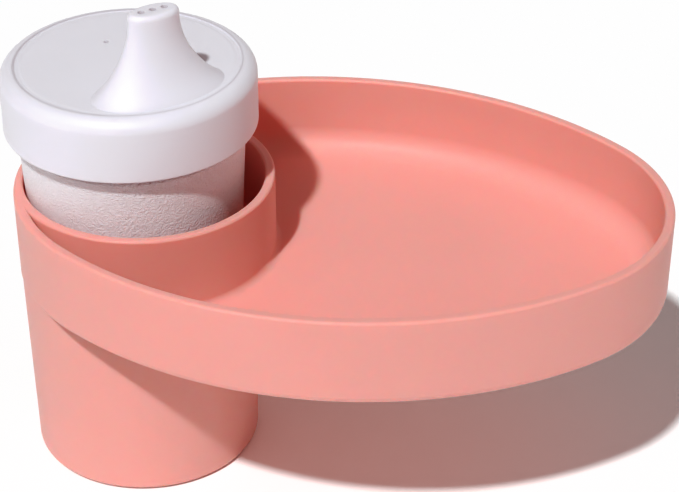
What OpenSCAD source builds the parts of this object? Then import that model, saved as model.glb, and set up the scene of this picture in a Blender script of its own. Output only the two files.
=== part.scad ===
// Travel snack tray that plugs into a cup holder, with a spouted cup standing in its well.
// Millimetres. The origin is the centre of the sleeve's base, +Z is up, and +X runs from
// the cup well towards the far end of the tray.

/* [Sleeve] */
// Outer radius of the sleeve at its base
sleeve_base_r = 35; // [34:0.5:36]
// Outer radius of the sleeve where it meets the tray
sleeve_top_r = 36.1; // [35.5:0.1:36.4]
// Wall thickness of the sleeve
sleeve_wall = 3.1; // [3:0.1:3.4]
// Thickness of the sleeve's closed bottom
sleeve_floor = 2.6; // [2:0.1:2.6]
// Radius of the rounded edge round the base
sleeve_edge_r = 2; // [1:0.5:2.5]

/* [Tray] */
// Height of the tray's underside above the base
underside_z = 66.3; // [60:0.1:70]
// Height of the tray's rim and of the well's rim above the base
rim_z = 94; // [90:0.5:98]
// Radius of the tray's outline round the well
near_r = 57.8; // [57:0.1:58.5]
// Radius of the outline at the far end
far_r = 52.5; // [50:0.5:55]
// Radius of the outline along the two sides
side_r = 123.3; // [120:0.1:128]
// Distance from the sleeve's centre to the near end of the outline
near_reach = 35.3; // [35.2:0.1:35.5]
// Distance from the sleeve's centre to the far end of the outline
far_reach = 160.9; // [158:0.1:164]
// Thickness of the tray's wall at the rim
wall = 3; // [2.6:0.1:3.4]
// Thickness of the tray's floor
floor_t = 2.7; // [2.2:0.1:3]
// How much narrower the tray is at its underside, each side
draft = 0.2; // [0:0.1:0.4]
// Radius of the outer edge round the underside
under_edge_r = 3; // [2:0.5:4]
// Radius of the hollow between the floor and the wall
floor_fillet = 8; // [5:0.5:10]
// Radius of the rounded edges of both rims
rim_edge_r = 0.9; // [0.5:0.1:1.2]

/* [Cup well] */
// How far the well's centre stands from the sleeve's, towards the tray
well_x = 3; // [2.9:0.1:3.1]
// Outer radius of the well
well_r = 39.2; // [39:0.1:39.3]

/* [Cup] */
// Height of the cup's base above the sleeve's base
cup_z = 2.9; // [2.9:0.1:3.5]
// Outer radius of the cup at its base
cup_base_r = 28.3; // [27:0.1:29]
// Outer radius of the cup below its shoulder
cup_top_r = 33.7; // [33:0.1:33.8]
// Height of the cup's shoulder
shoulder_z = 109; // [105:0.5:110]
// Height of the cup's mouth
mouth_z = 127.3; // [127:0.1:127.4]
// Outer radius of the cup's threaded neck
neck_r = 33; // [32.8:0.1:33.2]
// Wall thickness of the cup
cup_wall = 1.8; // [1.4:0.1:2]

/* [Lid] */
// Height of the lower edge of the lid's skirt
skirt_z = 112; // [111:0.5:113]
// Height of the lid's top
lid_z = 131.5; // [131:0.1:132]
// Outer radius of the lid's skirt
lid_r = 37.6; // [37.2:0.1:38]
// Inner radius of the lid's skirt
lid_bore_r = 35.3; // [35.2:0.1:35.5]
// Thickness of the lid's top
lid_plate = 2; // [1.6:0.1:2.2]
// Radius of the lid's rounded upper edge
lid_edge_r = 4.5; // [3:0.5:5]
// Radius of the fine groove round the lid's disc
groove_r = 33; // [31:0.1:33.5]

/* [Spout] */
// Direction of the spout, from +X
spout_dir = -50; // [-180:1:180]
// Height of the spout above the lid's top
spout_h = 24; // [22:0.5:25]
// Distance of the spout's tip from the lid's centre
tip_x = 18.5; // [17:0.5:19]
// Distance of the middle of the spout's foot from the lid's centre
foot_x = 20; // [19.5:0.1:20]
// Half width of the spout's tip
tip_w = 7.8; // [7.4:0.1:8]
// Half depth of the spout's tip
tip_d = 4.5; // [4.2:0.1:4.6]
// Half width of the spout's foot
foot_w = 20.5; // [19:0.5:22]
// Half depth of the spout's foot
foot_d = 12.5; // [12:0.5:12.5]
// Radius of the drinking holes
drink_hole_r = 1.1; // [0.8:0.1:1.2]

/* [Screw thread] */
// Rise of the thread in one turn
thread_lead = 12; // [12:0.5:13]
// Number of thread starts
thread_starts = 2; // [1:1:2]
// Turn of each thread rib, in degrees
thread_sweep = 250; // [180:10:260]
// Height of the thread ribs above their wall
thread_h = 1.6; // [1.2:0.1:1.6]

/* [Valve and gasket] */
// Radius of the valve's socket under the spout
socket_r = 7; // [6.5:0.1:7.2]
// Radius of the valve's socket under the vent
vent_socket_r = 3.8; // [3.6:0.1:4]
// Distance of the vent from the lid's centre
vent_x = 14.4; // [13:0.1:16]
// Gap round the valve's plugs
valve_gap = 0.15; // [0.1:0.05:0.3]
// Wall thickness of the valve
valve_wall = 1.5; // [1.2:0.1:1.8]

/* [Hidden] */

$fn = 128;
EPS = 0.01;         // a cut runs this far past the face that it opens
ARC_STEPS = 24;     // points along each of the tray outline's four arcs
EDGE_STEPS = 4;     // steps round a rounded edge

// Tray outline: four arcs, the sides tangent to both ends
floor_z = underside_z + floor_t;
near_x = near_r - near_reach;
far_x = far_reach - far_r;
end_spacing = far_x - near_x;
side_x = near_x + ((side_r - near_r) ^ 2 - (side_r - far_r) ^ 2 + end_spacing ^ 2) / (2 * end_spacing);
side_y = sqrt((side_r - near_r) ^ 2 - (side_x - near_x) ^ 2);
near_a = atan2(side_y, near_x - side_x);   // where a side meets the near end
far_a = atan2(side_y, far_x - side_x);     // where a side meets the far end
well_bore_r = well_r - wall;
sleeve_bevel = 1.7;  // bevel round the sleeve's top, inside the tray's floor
sleeve_bore_r = sleeve_base_r - sleeve_wall;
sleeve_bore_top_r = sleeve_top_r - sleeve_wall;

// Cup and lid
plate_z = lid_z - lid_plate;
neck_bore_r = neck_r - cup_wall;
cup_edge_r = 3;
cup_floor_t = cup_wall + 0.4;
cup_corner = 2;      // bevel inside the cup, round its floor
base_recess = 0.6;   // the middle of the cup's base is raised by this much
base_ring = 1.5;     // width of the flat ring that the cup stands on
neck_step = 3;       // height over which the bore narrows into the neck
groove_w = 0.8;
groove_depth = 0.5;
disc_drop = 0.4;     // the disc inside the groove lies this far below the rim

// Spout
spout_rings = 14;
spout_steps = 48;
spout_wall = 1.8;
flare = 2.15;        // how quickly the spout narrows above its foot
foot_sink = 0.6;     // the spout's foot starts this far below the disc
tip_edge_r = 1.2;
pocket_end_inset = 2;
pocket_side_inset = 1;
pocket_drop = 7;     // the pockets end this far below the spout's top
channel_w = 5;
channel_d = 1.7;
channel_inset = 0.7; // the drinking channel's foot lies this far inside the socket
channel_z = lid_z + 0.9;
hole_spacing = 3.6;
spout_top_z = lid_z + spout_h;

// Thread
thread_gap = 0.4;    // play between the cup's ribs and the lid's, along the axis
thread_pitch = thread_lead / thread_starts;
rib_root = thread_pitch / 2 - thread_gap;
rib_crest = rib_root / 2;
rib_sink = 0.5;      // a rib's foot is sunk this far into its wall
rib_step = 5;        // degrees between a rib's sections
rib_fade = 20;       // degrees over which each end of a rib fades out
thread_z = 114.5;    // height of the middle of the cup's rib where it starts

// Valve and gasket
socket_x = tip_x + 1;
socket_wall = 1.7;
socket_h = 5;
socket_z = plate_z - socket_h;
vent_hole_r = 0.8;
plug_top_z = plate_z - 0.3;
flange_z = socket_z - 0.3 - valve_wall;
flange_over = 2.4;   // the flange's width round the plug
strap_w = 7;
tab_w = 5;
tab_h = 6;
slit_l = 6;
slit_w = 0.4;
gasket_t = 1.8;
gasket_gap = 0.2;    // play above and below the gasket, and round it

function arc_points(cx, cy, r, a0, a1) =
    [for (i = [0:ARC_STEPS - 1]) let (a = a0 + (a1 - a0) * i / ARC_STEPS)
        [cx + r * cos(a), cy + r * sin(a)]];

// The tray's outline moved outwards by off, counter-clockwise
function outline(off) = concat(
    arc_points(far_x, 0, far_r + off, -far_a, far_a),
    arc_points(side_x, -side_y, side_r + off, far_a, near_a),
    arc_points(near_x, 0, near_r + off, near_a, 360 - near_a),
    arc_points(side_x, side_y, side_r + off, 360 - near_a, 360 - far_a));

function at_height(points, z) = [for (p = points) [p[0], p[1], z]];

// Rings round a convex edge: the outline steps out from off - r at z0 to off at z0 + r
function edge_up(z0, off, r) =
    [for (i = [0:EDGE_STEPS]) let (a = 90 * i / EDGE_STEPS) [z0 + r - r * cos(a), off - r + r * sin(a)]];

// Rings round a convex edge that closes in from off at z1 - r to off - r at z1
function edge_in(z1, off, r) =
    [for (i = [0:EDGE_STEPS]) let (a = 90 * i / EDGE_STEPS) [z1 - r + r * sin(a), off - r + r * cos(a)]];

// Rings of the rim's inner edge, which opens out from off at z1 - r to off + r at z1
function edge_out(z1, off, r) =
    [for (i = [0:EDGE_STEPS]) let (a = 90 * i / EDGE_STEPS) [z1 - r + r * sin(a), off + r - r * cos(a)]];

// A closed solid through rings of points, each counter-clockwise and with the same count
module loft(rings) {
    n = len(rings[0]);
    last = len(rings) - 1;
    sides = [for (j = [0:last - 1]) for (i = [0:n - 1]) let (k = (i + 1) % n)
        [j * n + i, (j + 1) * n + i, (j + 1) * n + k, j * n + k]];
    bottom = [for (i = [0:n - 1]) i];
    top = [for (i = [n - 1:-1:0]) last * n + i];
    polyhedron(points = [for (ring = rings) each ring], faces = concat(sides, [bottom, top]), convexity = 6);
}

module tray_loft(levels) {
    loft([for (l = levels) at_height(outline(l[1]), l[0])]);
}

module pan_outside() {
    tray_loft(concat(edge_up(underside_z, -draft, under_edge_r), edge_in(rim_z, 0, rim_edge_r)));
}

module pan_inside() {
    tray_loft(concat(
        edge_up(floor_z, -draft - wall, floor_fillet),
        edge_out(rim_z, -wall, rim_edge_r),
        [[rim_z + 1, -wall + rim_edge_r]]));
}

// A round bar that stands on z0 and has a rounded upper edge at z1
module round_topped(r, z0, z1, edge) {
    rotate_extrude() {
        translate([0, z0]) square([r, z1 - edge - z0]);
        translate([0, z0]) square([r - edge, z1 - z0]);
        intersection() {
            translate([r - edge, z1 - edge]) circle(edge);
            translate([0, z0]) square([r, z1 - z0]);
        }
    }
}

// The well's bore, opening out over its rounded inner edge
module well_bore() {
    translate([well_x, 0, 0]) rotate_extrude() difference() {
        translate([0, floor_z]) square([well_bore_r + rim_edge_r, rim_z + 1 - floor_z]);
        translate([well_bore_r, 0]) square([wall, rim_z - rim_edge_r]);
        translate([well_bore_r + rim_edge_r, rim_z - rim_edge_r]) circle(rim_edge_r);
    }
}

// The sleeve ends in a bevel inside the tray's floor, so that it runs into the near wall
module sleeve_outside() {
    foot_r = sleeve_base_r - sleeve_edge_r;
    bevel_z = underside_z + 0.5;
    top_z = bevel_z + sleeve_bevel;
    rotate_extrude() {
        translate([foot_r, sleeve_edge_r]) circle(sleeve_edge_r);
        square([foot_r, sleeve_edge_r + 1]);
        polygon([[0, sleeve_edge_r], [sleeve_base_r, sleeve_edge_r], [sleeve_top_r, bevel_z],
            [sleeve_top_r - sleeve_bevel, top_z], [0, top_z]]);
    }
}

module travel_tray() {
    color("salmon") difference() {
        union() {
            pan_outside();
            sleeve_outside();
        }
        difference() {
            pan_inside();
            translate([well_x, 0, 0]) round_topped(well_r, underside_z, rim_z, rim_edge_r);
            translate([well_x, 0, rim_z - EPS]) cylinder(r = well_r - rim_edge_r, h = 2);
        }
        well_bore();
        translate([0, 0, sleeve_floor])
            cylinder(h = floor_z - sleeve_floor + EPS, r1 = sleeve_bore_r, r2 = sleeve_bore_top_r);
    }
}

// One helical rib on a wall of radius r; out is 1 for a rib that stands outwards, -1 inwards
module thread_rib(r, out, z0) {
    steps = thread_sweep / rib_step;
    sections = [for (i = [0:steps]) let (
            a = i * rib_step,
            fade = min(1, a / rib_fade, (thread_sweep - a) / rib_fade),
            rise = max(0.15, fade) * thread_h,
            z = z0 + thread_lead * a / 360,
            ra = r - out * rib_sink,
            rb = r + out * rise)
        [[ra, z - rib_root / 2], [rb, z - rib_crest / 2], [rb, z + rib_crest / 2], [ra, z + rib_root / 2]]];
    rings = [for (i = [0:steps]) let (a = i * rib_step, s = sections[i])
        [for (p = (out < 0 ? s : [s[3], s[2], s[1], s[0]])) [p[0] * cos(a), p[0] * sin(a), p[1]]]];
    loft(rings);
}

module thread(r, out, z0) {
    for (i = [0:thread_starts - 1]) rotate([0, 0, i * 360 / thread_starts]) thread_rib(r, out, z0);
}

module cup_body() {
    floor_top = cup_z + cup_floor_t;
    base_bore_r = cup_base_r - cup_wall;
    color("white") union() {
        rotate_extrude() difference() {
            union() {
                translate([cup_base_r - cup_edge_r, cup_z + cup_edge_r]) circle(cup_edge_r);
                translate([0, cup_z]) square([cup_base_r - cup_edge_r, cup_edge_r]);
                polygon([[0, cup_z + cup_edge_r], [cup_base_r, cup_z + cup_edge_r],
                    [cup_top_r, shoulder_z - 1], [neck_r, shoulder_z], [neck_r, mouth_z], [0, mouth_z]]);
            }
            polygon([[0, floor_top], [base_bore_r - cup_corner, floor_top],
                [base_bore_r, floor_top + cup_corner], [cup_top_r - cup_wall, shoulder_z - neck_step],
                [neck_bore_r, shoulder_z], [neck_bore_r, mouth_z + 1], [0, mouth_z + 1]]);
            translate([0, cup_z - 1]) square([cup_base_r - cup_edge_r - base_ring, 1 + base_recess]);
        }
        thread(neck_r, 1, thread_z);
    }
}

// One level of the spout. Its half width, half depth and distance from the lid's centre are
// given at the foot and at the tip; s runs from 0 at the foot to 1 at the tip.
function spout_ring(s, foot, tip, z) = let (k = (1 - s) ^ flare, size = tip + (foot - tip) * k)
    [for (i = [0:spout_steps - 1]) let (a = 360 * i / spout_steps)
        [size[2] + size[1] * cos(a), size[0] * sin(a), z]];

module spout_loft(foot, tip, z0, z1) {
    loft([for (j = [0:spout_rings]) let (s = j / spout_rings) spout_ring(s, foot, tip, z0 + (z1 - z0) * s)]);
}

module spout_outside() {
    foot = [foot_w, foot_d, foot_x];
    tip = [tip_w, tip_d, tip_x];
    spout_loft(foot, tip, lid_z - disc_drop - foot_sink, spout_top_z - tip_edge_r);
    loft([for (level = edge_in(spout_top_z, 0, tip_edge_r))
        spout_ring(1, foot, tip + [level[1], level[1], 0], level[0])]);
}

// The pockets that keep the flared foot a thin shell, either side of the drinking channel
module spout_pockets() {
    foot = [foot_w - spout_wall - pocket_end_inset, foot_d - spout_wall - pocket_side_inset, foot_x];
    tip = [tip_w - spout_wall, tip_d - spout_wall, tip_x];
    difference() {
        spout_loft(foot, tip, plate_z - EPS, spout_top_z - pocket_drop);
        translate([socket_x, 0, plate_z - 1]) cylinder(r = socket_r + socket_wall, h = spout_h);
    }
}

module drinking_channel() {
    foot_r = socket_r - channel_inset;
    translate([socket_x, 0, socket_z - EPS]) cylinder(r = socket_r, h = lid_z + 1 - socket_z);
    spout_loft([foot_r, foot_r, socket_x], [channel_w, channel_d, tip_x],
        channel_z, spout_top_z - spout_wall);
    for (i = [-1:1])
        translate([tip_x, i * hole_spacing, spout_top_z - 2 * spout_wall])
            cylinder(r = drink_hole_r, h = 3 * spout_wall);
}

// The wall of a valve socket, from its lower edge into the lid's top
module socket(x, r) {
    translate([x, 0, socket_z]) cylinder(r = r + socket_wall, h = socket_h + lid_plate - 1);
}

module lid() {
    color("white") difference() {
        union() {
            difference() {
                round_topped(lid_r, skirt_z, lid_z, lid_edge_r);
                translate([0, 0, skirt_z - 1]) cylinder(r = lid_bore_r, h = plate_z - skirt_z + 1);
                translate([0, 0, lid_z - disc_drop]) cylinder(r = groove_r, h = 1);
                translate([0, 0, lid_z - disc_drop]) rotate_extrude()
                    translate([groove_r - groove_w, -groove_depth]) square([groove_w, 1]);
            }
            rotate([0, 0, spout_dir]) {
                spout_outside();
                socket(socket_x, socket_r);
                socket(-vent_x, vent_socket_r);
            }
            thread(lid_bore_r, -1, thread_z + thread_pitch / 2);
        }
        rotate([0, 0, spout_dir]) {
            spout_pockets();
            drinking_channel();
            translate([-vent_x, 0, socket_z - EPS]) cylinder(r = vent_socket_r, h = socket_h + EPS);
            translate([-vent_x, 0, plate_z - 1]) cylinder(r = vent_hole_r, h = lid_plate + 2);
        }
    }
}

module lid_gasket() {
    z = mouth_z + gasket_gap;
    color("gainsboro") translate([0, 0, z]) difference() {
        cylinder(r = lid_bore_r - gasket_gap, h = plate_z - gasket_gap - z);
        translate([0, 0, -1]) cylinder(r = neck_bore_r, h = gasket_t + 2);
    }
}

// A hollow plug that closes a socket of radius r, with a flange below it
module valve_plug(x, r) {
    outer = r - valve_gap;
    plug_h = plug_top_z - flange_z;
    slit = min(slit_l, outer);
    translate([x, 0, flange_z]) difference() {
        union() {
            cylinder(r = outer, h = plug_h);
            cylinder(r = r + flange_over, h = valve_wall);
        }
        translate([0, 0, -1]) cylinder(r = outer - valve_wall, h = plug_h - valve_wall + 1);
        translate([-slit_w / 2, -slit / 2, 0]) cube([slit_w, slit, plug_h + 1]);
    }
}

module spout_valve() {
    color("aliceblue") rotate([0, 0, spout_dir]) union() {
        valve_plug(socket_x, socket_r);
        valve_plug(-vent_x, vent_socket_r);
        translate([-vent_x + vent_socket_r, -strap_w / 2, flange_z])
            cube([socket_x + vent_x - vent_socket_r - socket_r, strap_w, valve_wall]);
        translate([-valve_wall / 2, -tab_w / 2, flange_z - tab_h]) cube([valve_wall, tab_w, tab_h + EPS]);
    }
}

travel_tray();
cup_body();
lid();
lid_gasket();
spout_valve();
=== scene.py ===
import math

import bmesh
import bpy
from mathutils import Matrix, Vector


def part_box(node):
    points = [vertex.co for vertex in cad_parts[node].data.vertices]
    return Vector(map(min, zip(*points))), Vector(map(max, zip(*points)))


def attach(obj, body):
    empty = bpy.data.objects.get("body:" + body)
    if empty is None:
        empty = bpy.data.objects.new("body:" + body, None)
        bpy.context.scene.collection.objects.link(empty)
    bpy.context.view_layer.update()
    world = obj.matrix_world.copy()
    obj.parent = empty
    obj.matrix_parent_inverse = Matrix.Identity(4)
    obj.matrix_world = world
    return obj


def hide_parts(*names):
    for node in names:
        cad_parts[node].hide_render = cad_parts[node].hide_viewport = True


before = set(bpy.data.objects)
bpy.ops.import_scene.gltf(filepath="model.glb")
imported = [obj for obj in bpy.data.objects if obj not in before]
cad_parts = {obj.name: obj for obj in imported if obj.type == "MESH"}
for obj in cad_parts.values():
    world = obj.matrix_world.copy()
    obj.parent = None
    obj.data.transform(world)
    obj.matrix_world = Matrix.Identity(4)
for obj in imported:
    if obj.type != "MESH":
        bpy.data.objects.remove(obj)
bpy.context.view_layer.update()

# The travel snack tray and its spouted cup. Every length below is in metres; MM turns a
# number of millimetres into metres.
MM = 0.001

_, tray_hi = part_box("travel_tray")
cup_lo, cup_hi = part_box("cup_body")
lid_lo, lid_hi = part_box("lid")
gasket_lo, gasket_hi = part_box("lid_gasket")
valve_lo, valve_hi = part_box("spout_valve")

# Tray outline: four arcs, the sides tangent to both ends
RIM_Z = tray_hi.z
NEAR_REACH = 35.3 * MM
NEAR_R = 57.8 * MM
FAR_R = 52.5 * MM
SIDE_R = 123.3 * MM
NEAR_X = NEAR_R - NEAR_REACH
FAR_X = tray_hi.x - FAR_R
END_SPACING = FAR_X - NEAR_X
SIDE_X = NEAR_X + ((SIDE_R - NEAR_R) ** 2 - (SIDE_R - FAR_R) ** 2 + END_SPACING ** 2) / (2 * END_SPACING)
SIDE_Y = math.sqrt((SIDE_R - NEAR_R) ** 2 - (SIDE_X - NEAR_X) ** 2)
NEAR_A = math.atan2(SIDE_Y, NEAR_X - SIDE_X)
FAR_A = math.atan2(SIDE_Y, FAR_X - SIDE_X)

# Tray section
UNDERSIDE_Z = 66.3 * MM
FLOOR_Z = 69.0 * MM
WALL = 3.0 * MM
DRAFT = 0.2 * MM
UNDER_EDGE = 3.0 * MM
FLOOR_FILLET = 8.0 * MM
PAN_INSET = 12 * MM      # flat start of the pan's section, longer than the floor's fillet
RIM_EDGE = 0.9 * MM
RIM_LIFT = 0.02 * MM     # keeps the cutters' rounded edges out of the rim's own plane
WELL_X = 3 * MM
WELL_R = 39.2 * MM
WELL_BORE_R = WELL_R - WALL
WELL_FOOT_FILLET = 2.2 * MM
WELL_FOOT_REACH = 4 * MM
SLEEVE_BASE_R = 35.0 * MM
SLEEVE_TOP_R = 36.1 * MM
SLEEVE_WALL = 3.1 * MM
SLEEVE_FLOOR = 2.6 * MM
SLEEVE_EDGE = 2.0 * MM
# Radius of the hollow where the sleeve meets the underside: wide at the near end, where the two
# walls run into each other, and tight elsewhere
NEAR_HOLLOW = 6.0 * MM
HOLLOW = 1.0 * MM
NEAR_HOLLOW_ENDS = (math.radians(25), math.radians(52))

# Cup
CUP_Z = cup_lo.z
MOUTH_Z = cup_hi.z
CUP_BASE_R = 28.3 * MM
CUP_TOP_R = 33.7 * MM
SHOULDER_Z = 109 * MM
NECK_R = 33 * MM
CUP_WALL = 1.8 * MM
CUP_FLOOR = 2.2 * MM
CUP_BASE_RISE = 1.2 * MM      # depth of the hollow under the cup's base
NECK_BORE_R = NECK_R - CUP_WALL

# Lid
SKIRT_Z = lid_lo.z
SPOUT_TOP_Z = lid_hi.z
LID_R = lid_hi.x
LID_Z = 131.5 * MM
LID_BORE_R = 35.3 * MM
LID_BORE_CHAMFER = 0.6 * MM
PLATE_Z = LID_Z - 2 * MM
LID_EDGE = 4.5 * MM
GROOVE_R = 33 * MM
GROOVE_DEPTH = 0.1 * MM
DISC_DROP = 0.3 * MM
SPOUT_DIR = math.radians(-50)
TIP_X = 18.5 * MM
FOOT_X = 19.5 * MM
TIP_W = 7.8 * MM
TIP_D = 4.5 * MM
TIP_EDGE = 1.6 * MM
TIP_WALL = 1.8 * MM
FOOT_W = 21.5 * MM
FOOT_D = 12.2 * MM
FLARE_POWER = 2.15
FILLET_SHARE = 0.1
FILLET_POWER = 12
CHANNEL_W = 5 * MM
CHANNEL_D = 1.7 * MM
DRINK_HOLE_R = 1 * MM
DRINK_HOLE_DEPTH = 4 * MM
HOLE_SPACING = 3.6 * MM
VENT_X = 14.4 * MM
VENT_R = 0.8 * MM
SOCKET_R = 7 * MM
VENT_SOCKET_R = 3.8 * MM
SOCKET_WALL = 1.7 * MM
SOCKET_Z = PLATE_Z - 5 * MM
SPOUT_SOCKET_X = TIP_X + MM
SOCKETS = ((SPOUT_SOCKET_X, SOCKET_R), (-VENT_X, VENT_SOCKET_R))

# Valve
VALVE_WALL = 1.5 * MM
VALVE_GAP = 0.15 * MM
VALVE_FLANGE = 2.4 * MM
FLANGE_DROP = 0.3 * MM
STRAP_HALF_W = 3.5 * MM
TAB_HALF_W = 2.5 * MM
TAB_HALF_T = 0.75 * MM

# Thread
THREAD_LEAD = 12 * MM
THREAD_STARTS = 2
THREAD_SWEEP = math.radians(250)
THREAD_FADE = math.radians(20)
THREAD_H = 1.6 * MM
THREAD_Z = 114.5 * MM
RIB_ROOT = 2.6 * MM
RIB_CREST = 1.3 * MM
RIB_SINK = 0.5 * MM
RIB_END_SHARE = 0.15     # share of the rib's height that is left at its two ends

# Mesh resolution
LATHE_STEPS = 192
ROD_STEPS = 64
SOCKET_STEPS = 96
DRINK_HOLE_STEPS = 48
VENT_STEPS = 32
END_ARC_POINTS = 56
SIDE_ARC_POINTS = 90
HOLLOW_STEPS = 9
SPOUT_STEPS = 96
SPOUT_RINGS = 36
SPOUT_RING_CROWDING = 1.5
TIP_EDGE_STEPS = 8
RIB_STEPS = 60
ARC_STEP = math.radians(9)
LEAST_ARC_STEPS = 4
ON_AXIS = 1e-7
MERGE_DISTANCE = 2e-6
SHARP_ANGLE = math.radians(32)


# ---------------------------------------------------------------- mesh tools

def mesh_object(name, points, faces):
    mesh = bpy.data.meshes.new(name)
    mesh.from_pydata([tuple(p) for p in points], [], faces)
    mesh.validate()
    obj = bpy.data.objects.new(name, mesh)
    bpy.context.scene.collection.objects.link(obj)
    return obj


def rounded(corners):
    """The (u, v) points of a path through corners (u, v, radius), each corner turned into an arc."""
    path = []
    last = len(corners) - 1
    for i, (u, v, radius) in enumerate(corners):
        here = Vector((u, v))
        if radius == 0 or i in (0, last):
            path.append(here)
            continue
        before = (Vector(corners[i - 1][:2]) - here).normalized()
        after = (Vector(corners[i + 1][:2]) - here).normalized()
        half = before.angle(after) / 2
        centre = here + (before + after).normalized() * (radius / math.sin(half))
        start = here + before * (radius / math.tan(half)) - centre
        end = here + after * (radius / math.tan(half)) - centre
        turn = start.angle_signed(end)
        steps = max(LEAST_ARC_STEPS, round(abs(turn) / ARC_STEP))
        for k in range(steps + 1):
            a = -turn * k / steps
            path.append(centre + Vector((start.x * math.cos(a) - start.y * math.sin(a),
                                         start.x * math.sin(a) + start.y * math.cos(a))))
    return path


def loft(name, rings):
    """A closed solid through rings of points, each counter-clockwise seen from the next ring."""
    n = len(rings[0])
    points = [p for ring in rings for p in ring]
    faces = [(j * n + i, j * n + (i + 1) % n, (j + 1) * n + (i + 1) % n, (j + 1) * n + i)
             for j in range(len(rings) - 1) for i in range(n)]
    faces.append(tuple(range(n - 1, -1, -1)))
    faces.append(tuple((len(rings) - 1) * n + i for i in range(n)))
    return mesh_object(name, points, faces)


def circle(x, y, r, z, steps):
    return [(x + r * math.cos(a), y + r * math.sin(a), z)
            for a in (2 * math.pi * i / steps for i in range(steps))]


def lathe(name, corners, x=0.0, y=0.0, steps=LATHE_STEPS):
    """A solid of revolution about the vertical axis through (x, y). Its corners (distance from the
    axis, height, radius) run from the axis out and upwards, and back to the axis."""
    path = rounded(corners)
    inner = [p for p in path if p.x > ON_AXIS]
    points, faces = [], []
    for p in inner:
        points += circle(x, y, p.x, p.y, steps)
    for j in range(len(inner) - 1):
        for i in range(steps):
            k = (i + 1) % steps
            faces.append((j * steps + i, j * steps + k, (j + 1) * steps + k, (j + 1) * steps + i))
    for end, z, ring in ((0, path[0].y, 0), (1, path[-1].y, len(inner) - 1)):
        centre = len(points)
        points.append((x, y, z))
        for i in range(steps):
            k = (i + 1) % steps
            a, b = ring * steps + i, ring * steps + k
            faces.append((centre, b, a) if end == 0 else (centre, a, b))
    return mesh_object(name, points, faces)


def rod(name, x, y, r, z0, z1, steps=ROD_STEPS):
    return lathe(name, [(0, z0, 0), (r, z0, 0), (r, z1, 0), (0, z1, 0)], x, y, steps)


def bar(name, x0, x1, half_width, z0, z1):
    """A block from x0 to x1, centred across the X axis."""
    corners = [(x0, -half_width), (x1, -half_width), (x1, half_width), (x0, half_width)]
    return loft(name, [[(x, y, z) for x, y in corners] for z in (z0, z1)])


def combine(target, other, operation):
    """Adds or cuts other into target and deletes other."""
    modifier = target.modifiers.new("combine", "BOOLEAN")
    modifier.operation = operation
    modifier.solver = "MANIFOLD"
    modifier.object = other
    graph = bpy.context.evaluated_depsgraph_get()
    result = bpy.data.meshes.new_from_object(target.evaluated_get(graph))
    target.modifiers.clear()
    old = target.data
    target.data = result
    bpy.data.meshes.remove(old)
    bpy.data.objects.remove(other)
    return target


def turned(obj, angle):
    """Turns a mesh about the Z axis in place."""
    cos, sin = math.cos(angle), math.sin(angle)
    for v in obj.data.vertices:
        v.co = (v.co.x * cos - v.co.y * sin, v.co.x * sin + v.co.y * cos, v.co.z)
    return obj


def smooth(obj):
    """Smooth shading with the real edges kept sharp."""
    mesh = obj.data
    work = bmesh.new()
    work.from_mesh(mesh)
    bmesh.ops.remove_doubles(work, verts=work.verts, dist=MERGE_DISTANCE)
    bmesh.ops.dissolve_degenerate(work, edges=work.edges, dist=MERGE_DISTANCE)
    bmesh.ops.recalc_face_normals(work, faces=work.faces)
    for face in work.faces:
        face.smooth = True
    for edge in work.edges:
        edge.smooth = not (len(edge.link_faces) == 2 and edge.calc_face_angle() > SHARP_ANGLE)
    work.to_mesh(mesh)
    work.free()
    mesh.update()
    weighted = obj.modifiers.new("weighted", "WEIGHTED_NORMAL")
    weighted.keep_sharp = True
    weighted.weight = 80
    return obj


# ---------------------------------------------------------------- tray

def arc(x, y, r, a0, a1, n):
    """n points of an arc from angle a0 towards a1, without the point at a1."""
    angles = [a0 + (a1 - a0) * i / n for i in range(n)]
    return [(x + r * math.cos(a), y + r * math.sin(a)) for a in angles]


def outline(off):
    """The tray's outline moved outwards by off, counter-clockwise."""
    full = 2 * math.pi
    return (arc(FAR_X, 0, FAR_R + off, -FAR_A, FAR_A, END_ARC_POINTS)
            + arc(SIDE_X, -SIDE_Y, SIDE_R + off, FAR_A, NEAR_A, SIDE_ARC_POINTS)
            + arc(NEAR_X, 0, NEAR_R + off, NEAR_A, full - NEAR_A, END_ARC_POINTS)
            + arc(SIDE_X, SIDE_Y, SIDE_R + off, full - NEAR_A, full - FAR_A, SIDE_ARC_POINTS))


def outline_ring(off, z):
    return [(x, y, z) for x, y in outline(off)]


def outline_loft(name, corners):
    return loft(name, [outline_ring(p.x, p.y) for p in rounded(corners)])


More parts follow.
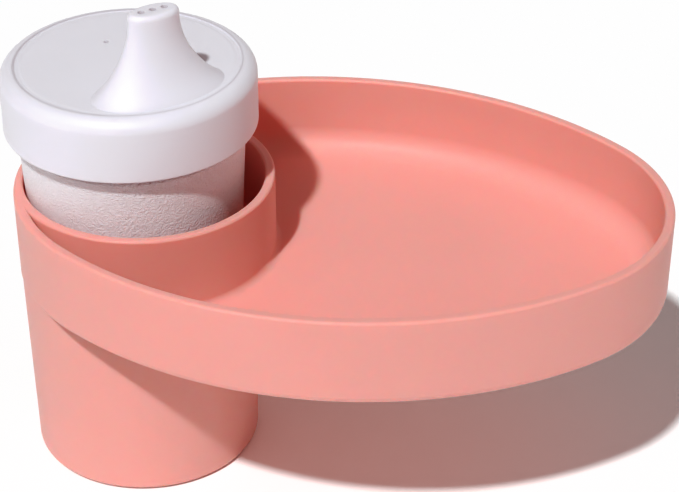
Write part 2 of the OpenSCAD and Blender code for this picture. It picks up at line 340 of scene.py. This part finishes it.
def tray_skin():
    """The outside of sleeve, underside and wall as one smooth closed solid. Seen in section, the
    sleeve runs up into a hollow, along the underside and round the tray's lower edge; where
    there is no room for that, hollow and edge meet in a gentle S."""
    directions = [math.atan2(y, x) for x, y in outline(0)]
    lower = outline(-DRAFT)
    normals = [((x - u) / MM, (y - v) / MM) for (x, y), (u, v) in zip(outline(MM), outline(0))]
    hollows, turns, signs = [], [], []
    for angle, (x, y) in zip(directions, lower):
        away = math.pi - abs(angle)
        near, far = NEAR_HOLLOW_ENDS
        blend = min(1, max(0, (away - near) / (far - near)))
        hollow = NEAR_HOLLOW + (HOLLOW - NEAR_HOLLOW) * blend * blend * (3 - 2 * blend)
        step = math.hypot(x, y) - SLEEVE_TOP_R
        hollows.append(hollow)
        signs.append(math.copysign(1, step))
        turns.append(math.acos(max(0, 1 - abs(step) / (hollow + UNDER_EDGE))))

    def sleeve_ring(r, z):
        return [(r * math.cos(a), r * math.sin(a), z) for a in directions]

    def hollow_ring(part):
        ring = []
        for a, r, turn, sign in zip(directions, hollows, turns, signs):
            out = SLEEVE_TOP_R + sign * r * (1 - math.cos(turn * part))
            z = UNDERSIDE_Z - r * (math.sin(turn) - math.sin(turn * part))
            ring.append((out * math.cos(a), out * math.sin(a), z))
        return ring

    def edge_ring(part):
        ring = []
        for (x, y), (normal_x, normal_y), turn, sign in zip(lower, normals, turns, signs):
            inset = sign * UNDER_EDGE * (1 - math.cos(turn * (1 - part)))
            z = UNDERSIDE_Z + UNDER_EDGE * (math.sin(turn) - math.sin(turn * (1 - part)))
            ring.append((x - inset * normal_x, y - inset * normal_y, z))
        return ring

    foot = rounded([
        (SLEEVE_BASE_R - 2 * SLEEVE_EDGE, 0, 0),
        (SLEEVE_BASE_R, 0, SLEEVE_EDGE),
        (SLEEVE_TOP_R, UNDERSIDE_Z, 0)])[1:-1]
    rim = rounded([
        (-DRAFT, UNDERSIDE_Z, 0),
        (0, RIM_Z, RIM_EDGE),
        (-2 * RIM_EDGE, RIM_Z, 0)])[1:-1]
    parts = [i / HOLLOW_STEPS for i in range(HOLLOW_STEPS + 1)]
    return loft("tray_body",
                [sleeve_ring(p.x, p.y) for p in foot]
                + [hollow_ring(part) for part in parts]
                + [edge_ring(part) for part in parts]
                + [outline_ring(p.x, p.y) for p in rim])


def make_tray():
    over = RIM_Z + 2 * MM
    rim_top = RIM_Z + RIM_LIFT
    tray = tray_skin()
    pan = outline_loft("pan", [
        (-WALL - DRAFT - PAN_INSET, FLOOR_Z, 0),
        (-WALL - DRAFT, FLOOR_Z, FLOOR_FILLET),
        (-WALL, rim_top, RIM_EDGE),
        (-WALL + RIM_EDGE, rim_top, 0),
        (-WALL + RIM_EDGE, over, 0)])
    well_foot_z = FLOOR_Z - RIM_LIFT
    well = lathe("well", [
        (0, UNDERSIDE_Z, 0),
        (WELL_R + WELL_FOOT_REACH, UNDERSIDE_Z, 0),
        (WELL_R + WELL_FOOT_REACH, well_foot_z, 0),
        (WELL_R, well_foot_z, WELL_FOOT_FILLET),
        (WELL_R, rim_top, RIM_EDGE),
        (WELL_R - RIM_EDGE, rim_top, 0),
        (WELL_R - RIM_EDGE, over + MM, 0),
        (0, over + MM, 0)], WELL_X)
    combine(pan, well, "DIFFERENCE")
    combine(tray, pan, "DIFFERENCE")
    bore = lathe("bore", [
        (0, FLOOR_Z, 0),
        (WELL_BORE_R, FLOOR_Z, 1 * MM),
        (WELL_BORE_R, rim_top, RIM_EDGE),
        (WELL_BORE_R + RIM_EDGE, rim_top, 0),
        (WELL_BORE_R + RIM_EDGE, over, 0),
        (0, over, 0)], WELL_X)
    combine(tray, bore, "DIFFERENCE")
    sleeve_mouth_z = FLOOR_Z + 0.5 * MM
    inside = lathe("inside", [
        (0, SLEEVE_FLOOR, 0),
        (SLEEVE_BASE_R - SLEEVE_WALL, SLEEVE_FLOOR, 2 * MM),
        (SLEEVE_TOP_R - SLEEVE_WALL, sleeve_mouth_z, 0),
        (0, sleeve_mouth_z, 0)])
    combine(tray, inside, "DIFFERENCE")
    return smooth(tray)


# ---------------------------------------------------------------- thread

def thread_rib(name, r, out, z0, start):
    """One helical rib on a wall of radius r, standing outwards for out = 1 and inwards for -1."""
    rings = []
    for i in range(RIB_STEPS + 1):
        a = THREAD_SWEEP * i / RIB_STEPS
        fade = min(1, a / THREAD_FADE, (THREAD_SWEEP - a) / THREAD_FADE)
        z = z0 + THREAD_LEAD * a / (2 * math.pi)
        foot = r - out * RIB_SINK
        crest = r + out * max(RIB_END_SHARE, fade) * THREAD_H
        section = [(foot, z - RIB_ROOT / 2), (crest, z - RIB_CREST / 2),
                   (crest, z + RIB_CREST / 2), (foot, z + RIB_ROOT / 2)]
        if out > 0:
            section.reverse()
        rings.append([(d * math.cos(a + start), d * math.sin(a + start), h) for d, h in section])
    return loft(name, rings)


def add_thread(obj, r, out, z0):
    for i in range(THREAD_STARTS):
        combine(obj, thread_rib("rib", r, out, z0, 2 * math.pi * i / THREAD_STARTS), "UNION")


# ---------------------------------------------------------------- cup

def make_cup():
    floor_z = CUP_Z + CUP_FLOOR
    cup = lathe("cup_shell", [
        (0, CUP_Z + CUP_BASE_RISE, 0),
        (CUP_BASE_R - 6 * MM, CUP_Z + CUP_BASE_RISE, 1 * MM),
        (CUP_BASE_R - 4.5 * MM, CUP_Z, 0.8 * MM),
        (CUP_BASE_R, CUP_Z, 3 * MM),
        (CUP_TOP_R, SHOULDER_Z, 0.5 * MM),
        (NECK_R, SHOULDER_Z + 0.6 * MM, 0.3 * MM),
        (NECK_R, MOUTH_Z, 0.8 * MM),
        (NECK_BORE_R, MOUTH_Z, 0.7 * MM),
        (NECK_BORE_R, SHOULDER_Z, 2 * MM),
        (CUP_TOP_R - CUP_WALL - 0.2 * MM, SHOULDER_Z - 3 * MM, 2 * MM),
        (CUP_BASE_R - CUP_WALL, floor_z, 4 * MM),
        (0, floor_z, 0)])
    add_thread(cup, NECK_R, 1, THREAD_Z)
    return smooth(cup)


# ---------------------------------------------------------------- lid

def spout_ring(k, w, d, x, z):
    """One level of the spout, k from 1 at its foot to 0 at its tip."""
    (w0, w1), (d0, d1), (x0, x1) = w, d, x
    return [(x1 + (x0 - x1) * k + (d1 + (d0 - d1) * k) * math.cos(a), (w1 + (w0 - w1) * k) * math.sin(a), z)
            for a in (2 * math.pi * i / SPOUT_STEPS for i in range(SPOUT_STEPS))]


def flare(s):
    """How much of the foot's size is left at s, from 1 at the foot to 0 at the tip; a quick first
    fall makes the fillet round the foot."""
    return FILLET_SHARE * (1 - s) ** FILLET_POWER + (1 - FILLET_SHARE) * (1 - s) ** FLARE_POWER


def spout_solid(name, w, d, x, z0, z1, edge=0.0):
    """A flared oval solid from z0 to z1. w, d and x are pairs, at the foot and at the tip: half its
    width, half its depth and its distance from the axis. edge rounds the tip."""
    rings = []
    for j in range(SPOUT_RINGS + 1):
        s = (j / SPOUT_RINGS) ** SPOUT_RING_CROWDING
        rings.append(spout_ring(flare(s), w, d, x, z0 + (z1 - edge - z0) * s))
    for j in range(1, TIP_EDGE_STEPS + 1 if edge else 0):
        a = math.pi / 2 * j / TIP_EDGE_STEPS
        shrink = edge * (1 - math.cos(a))
        z = z1 - edge + edge * math.sin(a)
        rings.append(spout_ring(0, (0, w[1] - shrink), (0, d[1] - shrink), x, z))
    return loft(name, rings)


def lid_cuts():
    """The spout's socket and channel, the vent with its socket, and the row of drinking holes."""
    cuts = [
        rod("socket_bore", SPOUT_SOCKET_X, 0, SOCKET_R, SOCKET_Z - MM, LID_Z + MM, SOCKET_STEPS),
        spout_solid("channel", (SOCKET_R - 0.6 * MM, CHANNEL_W), (SOCKET_R - 0.8 * MM, CHANNEL_D),
                    (SPOUT_SOCKET_X, TIP_X), LID_Z + 0.9 * MM, SPOUT_TOP_Z - TIP_WALL),
        rod("vent_bore", -VENT_X, 0, VENT_SOCKET_R, SOCKET_Z - MM, PLATE_Z),
        rod("vent", -VENT_X, 0, VENT_R, PLATE_Z - MM, LID_Z + MM, VENT_STEPS)]
    for i in (-1, 0, 1):
        cuts.append(rod("hole", TIP_X, i * HOLE_SPACING, DRINK_HOLE_R,
                        SPOUT_TOP_Z - DRINK_HOLE_DEPTH, SPOUT_TOP_Z + MM, DRINK_HOLE_STEPS))
    return cuts


def make_lid():
    disc_z = LID_Z - DISC_DROP
    groove_z = disc_z - GROOVE_DEPTH
    lid = lathe("lid_shell", [
        (0, SKIRT_Z, 0),
        (LID_R, SKIRT_Z, 0.5 * MM),
        (LID_R, LID_Z, LID_EDGE),
        (GROOVE_R + 0.4 * MM, LID_Z, 0.6 * MM),
        (GROOVE_R - 0.3 * MM, groove_z, 0.5 * MM),
        (GROOVE_R - 1.2 * MM, groove_z, 0.5 * MM),
        (GROOVE_R - 2 * MM, disc_z, 1 * MM),
        (0, disc_z, 0)])
    hollow = lathe("hollow", [
        (0, SKIRT_Z - MM, 0),
        (LID_BORE_R + LID_BORE_CHAMFER, SKIRT_Z - MM, 0),
        (LID_BORE_R, SKIRT_Z + LID_BORE_CHAMFER, 0.2 * MM),
        (LID_BORE_R, PLATE_Z, 1 * MM),
        (0, PLATE_Z, 0)])
    combine(lid, hollow, "DIFFERENCE")
    spout = spout_solid("spout", (FOOT_W, TIP_W), (FOOT_D, TIP_D), (FOOT_X, TIP_X),
                        disc_z - 0.6 * MM, SPOUT_TOP_Z, TIP_EDGE)
    combine(lid, turned(spout, SPOUT_DIR), "UNION")
    for x, r in SOCKETS:
        socket = rod("socket", x, 0, r + SOCKET_WALL, SOCKET_Z, disc_z - 0.3 * MM, SOCKET_STEPS)
        combine(lid, turned(socket, SPOUT_DIR), "UNION")
    add_thread(lid, LID_BORE_R, -1, THREAD_Z + THREAD_LEAD / THREAD_STARTS / 2)
    for cut in lid_cuts():
        combine(lid, turned(cut, SPOUT_DIR), "DIFFERENCE")
    return smooth(lid)


# ---------------------------------------------------------------- gasket and valve

def make_gasket():
    lo, hi = gasket_lo.z, gasket_hi.z
    outer = gasket_hi.x
    ring = lathe("gasket_ring", [(0, lo, 0), (outer, lo, 0.5 * MM), (outer, hi, 0.5 * MM), (0, hi, 0)])
    combine(ring, rod("gasket_hole", 0, 0, NECK_BORE_R, lo - MM, hi + MM, LATHE_STEPS), "DIFFERENCE")
    return smooth(ring)


def make_valve():
    flange_z = SOCKET_Z - FLANGE_DROP - VALVE_WALL
    flange_top = flange_z + VALVE_WALL
    top = valve_hi.z
    valve = None
    for x, r in SOCKETS:
        outer = r - VALVE_GAP
        plug = lathe("plug", [
            (0, flange_z, 0),
            (r + VALVE_FLANGE, flange_z, 0.5 * MM),
            (r + VALVE_FLANGE, flange_top, 0.4 * MM),
            (outer, flange_top, 0.1 * MM),
            (outer, top, 0.5 * MM),
            (0, top, 0)], x, 0, SOCKET_STEPS)
        bore = rod("plug_bore", x, 0, outer - VALVE_WALL, flange_z - MM, top - VALVE_WALL, SOCKET_STEPS)
        combine(plug, bore, "DIFFERENCE")
        valve = plug if valve is None else combine(valve, plug, "UNION")
    strap = bar("strap", -VENT_X + VENT_SOCKET_R, SPOUT_SOCKET_X - SOCKET_R, STRAP_HALF_W,
                flange_z, flange_top)
    combine(valve, strap, "UNION")
    tab = bar("tab", -TAB_HALF_T, TAB_HALF_T, TAB_HALF_W, valve_lo.z, flange_z + 0.5 * MM)
    combine(valve, tab, "UNION")
    valve.name = "valve_body"
    return smooth(turned(valve, SPOUT_DIR))


# ---------------------------------------------------------------- materials

def new_material(name):
    material = bpy.data.materials.new(name)
    material.use_nodes = True
    tree = material.node_tree
    return material, tree, tree.nodes["Principled BSDF"]


def node(tree, kind, **settings):
    """A new node; each setting goes to the input of that name, or else to the node itself."""
    made = tree.nodes.new(kind)
    for key, value in settings.items():
        if key in made.inputs:
            made.inputs[key].default_value = value
        else:
            setattr(made, key, value)
    return made


def colour_variation(tree, shader, colour, amount, scale):
    """Base colour with a slow, faint drift in brightness."""
    place = node(tree, "ShaderNodeTexCoord")
    drift = node(tree, "ShaderNodeTexNoise", Scale=scale, Detail=3.0, Roughness=0.6)
    ramp = node(tree, "ShaderNodeValToRGB")
    ramp.color_ramp.elements[0].position = 0.3
    ramp.color_ramp.elements[1].position = 0.7
    ramp.color_ramp.elements[0].color = (*[c * (1 - amount) for c in colour], 1)
    ramp.color_ramp.elements[1].color = (*[min(1, c * (1 + amount)) for c in colour], 1)
    tree.links.new(place.outputs["Object"], drift.inputs["Vector"])
    tree.links.new(drift.outputs["Fac"], ramp.inputs["Fac"])
    tree.links.new(ramp.outputs["Color"], shader.inputs["Base Color"])
    return place


def roughness_variation(tree, shader, place, low, high, scale):
    grain = node(tree, "ShaderNodeTexNoise", Scale=scale, Detail=4.0, Roughness=0.6)
    spread = node(tree, "ShaderNodeMapRange")
    spread.inputs["To Min"].default_value = low
    spread.inputs["To Max"].default_value = high
    tree.links.new(place.outputs["Object"], grain.inputs["Vector"])
    tree.links.new(grain.outputs["Fac"], spread.inputs["Value"])
    tree.links.new(spread.outputs["Result"], shader.inputs["Roughness"])


def add_subsurface(shader, weight, radius, scale):
    shader.inputs["Subsurface Weight"].default_value = weight
    shader.inputs["Subsurface Radius"].default_value = radius
    shader.inputs["Subsurface Scale"].default_value = scale


def add_bump(tree, shader, height, distance, strength, below=None):
    """Bump from height; below is a bump already made, which this one adds to."""
    bump = node(tree, "ShaderNodeBump", Strength=strength, Distance=distance)
    tree.links.new(height, bump.inputs["Height"])
    if below is not None:
        tree.links.new(below.outputs["Normal"], bump.inputs["Normal"])
    tree.links.new(bump.outputs["Normal"], shader.inputs["Normal"])
    return bump


def tray_plastic():
    material, tree, shader = new_material("tray_plastic")
    place = colour_variation(tree, shader, (0.79, 0.41, 0.375), amount=0.015, scale=14.0)
    roughness_variation(tree, shader, place, low=0.46, high=0.56, scale=300.0)
    add_subsurface(shader, weight=0.7, radius=(1.0, 0.25, 0.15), scale=5.0 * MM)
    shader.inputs["Specular IOR Level"].default_value = 0.35
    grain = node(tree, "ShaderNodeTexNoise", Scale=1600.0, Detail=2.0, Roughness=0.5)
    tree.links.new(place.outputs["Object"], grain.inputs["Vector"])
    add_bump(tree, shader, grain.outputs["Fac"], distance=0.02 * MM, strength=0.35)
    return material


def white_plastic(name, colour, rough, weight):
    material, tree, shader = new_material(name)
    place = colour_variation(tree, shader, colour, amount=0.012, scale=18.0)
    roughness_variation(tree, shader, place, low=rough - 0.03, high=rough + 0.05, scale=220.0)
    add_subsurface(shader, weight, radius=(1.0, 0.9, 0.85), scale=4.0 * MM)
    return material, tree, shader, place


def lid_plastic():
    material, tree, shader, place = white_plastic(
        "lid_plastic", (0.79, 0.77, 0.82), rough=0.36, weight=0.35)
    ripple = node(tree, "ShaderNodeTexNoise", Scale=60.0, Detail=2.0)
    tree.links.new(place.outputs["Object"], ripple.inputs["Vector"])
    add_bump(tree, shader, ripple.outputs["Fac"], distance=0.05 * MM, strength=0.25)
    return material


def cup_plastic():
    """White plastic with a fine stipple."""
    material, tree, shader, place = white_plastic(
        "cup_plastic", (0.93, 0.86, 0.90), rough=0.42, weight=0.6)
    grains = node(tree, "ShaderNodeTexVoronoi", Scale=1900.0, Randomness=1.0, feature="SMOOTH_F1")
    haze = node(tree, "ShaderNodeTexNoise", Scale=2600.0, Detail=1.0, Roughness=0.5)
    tree.links.new(place.outputs["Object"], grains.inputs["Vector"])
    tree.links.new(place.outputs["Object"], haze.inputs["Vector"])
    first = add_bump(tree, shader, grains.outputs["Distance"], distance=0.4 * MM, strength=0.9)
    add_bump(tree, shader, haze.outputs["Fac"], distance=0.1 * MM, strength=0.7, below=first)
    return material


def silicone(name, colour):
    material, tree, shader = new_material(name)
    place = colour_variation(tree, shader, colour, amount=0.015, scale=40.0)
    roughness_variation(tree, shader, place, low=0.45, high=0.55, scale=500.0)
    add_subsurface(shader, weight=0.6, radius=(1.0, 1.0, 1.0), scale=2.0 * MM)
    return material


def gasket_silicone():
    return silicone("gasket_silicone", (0.72, 0.74, 0.76))


def valve_silicone():
    return silicone("valve_silicone", (0.66, 0.74, 0.80))


# ---------------------------------------------------------------- the object

PIECES = [
    (make_tray, "tray", "travel_tray", "tray_plastic", tray_plastic),
    (make_cup, "cup", "cup_body", "cup_plastic", cup_plastic),
    (make_lid, "lid", "lid", "lid_plastic", lid_plastic),
    (make_gasket, "gasket", "lid_gasket", "gasket_silicone", gasket_silicone),
    (make_valve, "valve", "spout_valve", "valve_silicone", valve_silicone),
]
for make, body, cad_node, slot, material in PIECES:
    piece = make()
    piece.data.materials.clear()
    piece.data.materials.append(material())
    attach(piece, body)
    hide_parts(cad_node)


# ---------------------------------------------------------------- stage

FLOOR_HALF = 3.0
FLOOR_GAP = 0.2 * MM     # keeps the floor out of the plane of the sleeve's base
floor = mesh_object("floor", [(-FLOOR_HALF, -FLOOR_HALF, 0), (FLOOR_HALF, -FLOOR_HALF, 0),
                              (FLOOR_HALF, FLOOR_HALF, 0), (-FLOOR_HALF, FLOOR_HALF, 0)], [(0, 1, 2, 3)])
floor.location.z = -FLOOR_GAP
floor_material, floor_tree, floor_shader = new_material("floor_paper")
colour_variation(floor_tree, floor_shader, (0.97, 0.97, 0.97), amount=0.005, scale=3.0)
floor_shader.inputs["Roughness"].default_value = 0.9
floor.data.materials.append(floor_material)


# ---------------------------------------------------------------- lights

def direction(azimuth, elevation):
    """Unit vector from the object towards a viewer at azimuth (0 is -Y, 90 is +X) and elevation,
    in degrees."""
    a, e = math.radians(azimuth), math.radians(elevation)
    return Vector((math.sin(a) * math.cos(e), -math.cos(a) * math.cos(e), math.sin(e)))


KEY_AZIMUTH = -15
KEY_ELEVATION = 54
KEY_STRENGTH = 2.6
KEY_ANGLE = math.radians(2.6)
key_data = bpy.data.lights.new("key", "SUN")
key_data.energy = KEY_STRENGTH
key_data.angle = KEY_ANGLE
key = bpy.data.objects.new("key", key_data)
key.rotation_euler = (-direction(KEY_AZIMUTH, KEY_ELEVATION)).to_track_quat("-Z", "Y").to_euler()
bpy.context.scene.collection.objects.link(key)

# Fill light: a little stronger from the right and from behind; the backdrop itself is white
FILL = 0.26
FILL_SLOPE = (0.10, 0.09, 0.0)
world = bpy.data.worlds.new("studio")
world.use_nodes = True
sky = world.node_tree.nodes["Background"]
sky.inputs["Color"].default_value = (1.0, 1.0, 1.0, 1)
facing = node(world.node_tree, "ShaderNodeTexCoord")
slope = node(world.node_tree, "ShaderNodeVectorMath", operation="DOT_PRODUCT")
slope.inputs[1].default_value = FILL_SLOPE
fill = node(world.node_tree, "ShaderNodeMath", operation="ADD")
fill.inputs[1].default_value = FILL
seen = node(world.node_tree, "ShaderNodeLightPath")
backdrop = node(world.node_tree, "ShaderNodeMath", operation="MAXIMUM")
world.node_tree.links.new(facing.outputs["Generated"], slope.inputs[0])
world.node_tree.links.new(slope.outputs["Value"], fill.inputs[0])
world.node_tree.links.new(fill.outputs["Value"], backdrop.inputs[0])
world.node_tree.links.new(seen.outputs["Is Camera Ray"], backdrop.inputs[1])
world.node_tree.links.new(backdrop.outputs["Value"], sky.inputs["Strength"])
bpy.context.scene.world = world


# ---------------------------------------------------------------- camera

# Tone curves: a toe, highest in red, that keeps the shadows warm, and a shoulder that brings
# the paper up to white
RED_TOE = 0.070
GREEN_TOE = 0.030
BLUE_TOE = 0.026
TOE_X = 0.07
DARK = (0.32, 0.25)      # lifted by the toe
LIGHT = (0.75, 0.79)
PAPER_WHITE = (0.89, 0.99)
view = bpy.context.scene.view_settings
view.view_transform = "Standard"
view.use_curve_mapping = True
for channel, toe in enumerate((RED_TOE, GREEN_TOE, BLUE_TOE)):
    curve = view.curve_mapping.curves[channel]
    for x, y in ((TOE_X, toe), (DARK[0], DARK[1] + toe), LIGHT, PAPER_WHITE):
        curve.points.new(x, y)
    for point in curve.points:
        point.handle_type = "AUTO_CLAMPED"
view.curve_mapping.update()

VIEW_AZIMUTH = 8.87
VIEW_ELEVATION = 33.0
VIEW_DISTANCE = 649.8 * MM
AIM = Vector((60.7, 9.5, 60.0)) * MM
SENSOR_WIDTH = 36.0
LENS = 111.563
VIEW_SHIFT = 0.0304      # share of the picture's width by which the view is moved up
camera_data = bpy.data.cameras.new("camera")
camera_data.sensor_width = SENSOR_WIDTH
camera_data.lens = LENS
camera_data.shift_y = VIEW_SHIFT
camera = bpy.data.objects.new("camera", camera_data)
back = direction(VIEW_AZIMUTH, VIEW_ELEVATION)
camera.location = AIM + back * VIEW_DISTANCE
camera.rotation_euler = (-back).to_track_quat("-Z", "Y").to_euler()
bpy.context.scene.collection.objects.link(camera)
bpy.context.scene.camera = camera
